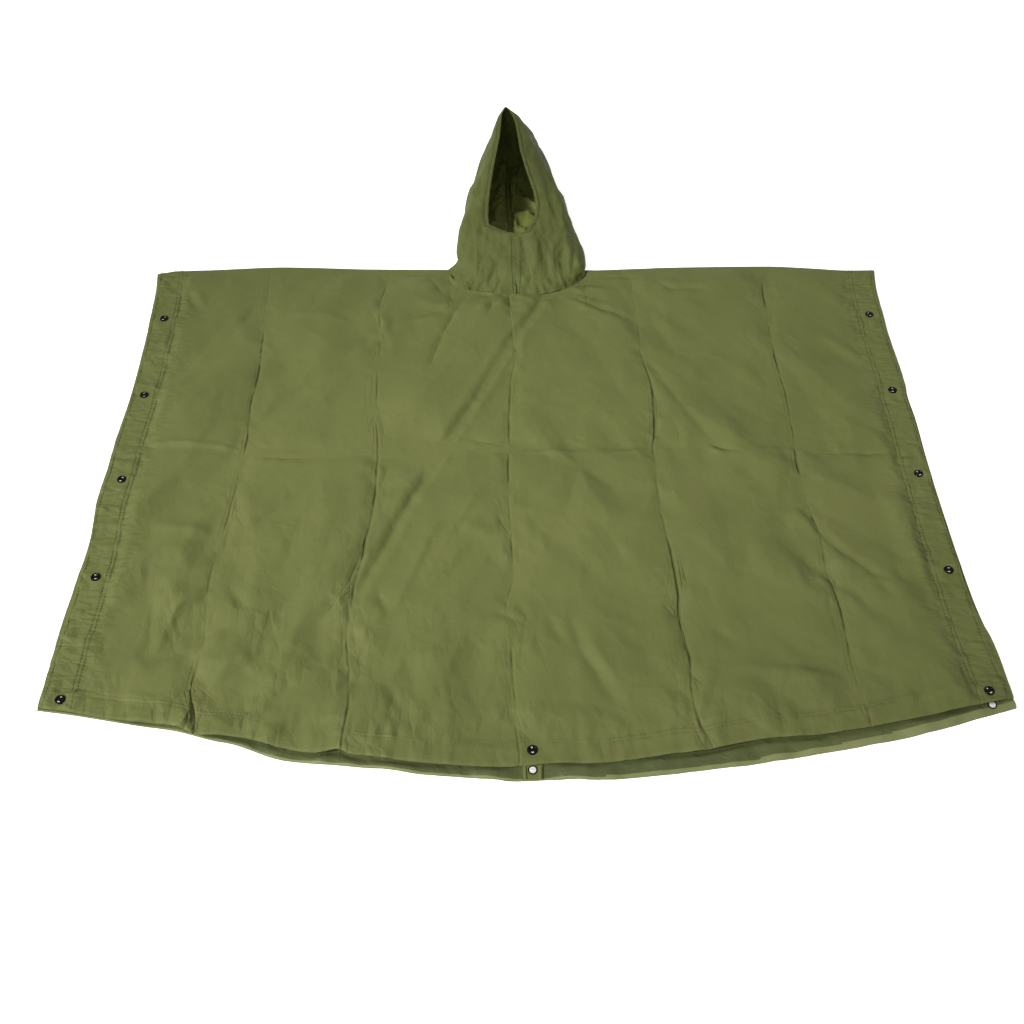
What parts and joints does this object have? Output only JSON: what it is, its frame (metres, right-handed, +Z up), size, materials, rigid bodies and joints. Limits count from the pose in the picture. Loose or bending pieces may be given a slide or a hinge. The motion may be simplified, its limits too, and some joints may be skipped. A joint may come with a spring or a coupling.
{
  "type": "rain poncho",
  "caption": "Hooded rain poncho of coated olive cloth laid out flat, front side up, with press studs down its sides and the hood lying beyond the neck, face opening up.",
  "frame": {"origin": "on the back panel's underside, halfway between the shoulder fold and the middle of the front hem", "axes": "+X across the shoulders, to the right seen from the hem; +Y from the hem towards the hood; +Z up from the floor"},
  "size_m": [1.418, 1.4483, 0.139],
  "materials": {
    "coated_taffeta": "waterproof-coated olive taffeta, slight satin sheen",
    "blackened_brass": "blackened press-stud brass, half gloss",
    "nickel": "nickel-plated stud face, glossy"
  },
  "bodies": {
    "root": {"body_back": "coated_taffeta", "body_front": "coated_taffeta", "hood_left": "coated_taffeta", "hood_right": "coated_taffeta", "hem_tab": "coated_taffeta", "snap_cap_left_1": "blackened_brass", "snap_cap_left_2": "blackened_brass", "snap_cap_left_3": "blackened_brass", "snap_cap_left_4": "blackened_brass", "snap_cap_left_5": "blackened_brass", "snap_cap_right_1": "blackened_brass", "snap_cap_right_2": "blackened_brass", "snap_cap_right_3": "blackened_brass", "snap_cap_right_4": "blackened_brass", "snap_cap_right_5": "blackened_brass", "snap_socket_left_1": "nickel", "snap_socket_left_2": "nickel", "snap_socket_left_3": "nickel", "snap_socket_left_4": "nickel", "snap_socket_left_5": "nickel", "snap_socket_right_1": "nickel", "snap_socket_right_2": "nickel", "snap_socket_right_3": "nickel", "snap_socket_right_4": "nickel", "snap_socket_right_5": "nickel", "snap_cap_hem": "blackened_brass", "snap_socket_hem": "nickel"}
  },
  "joints": []
}
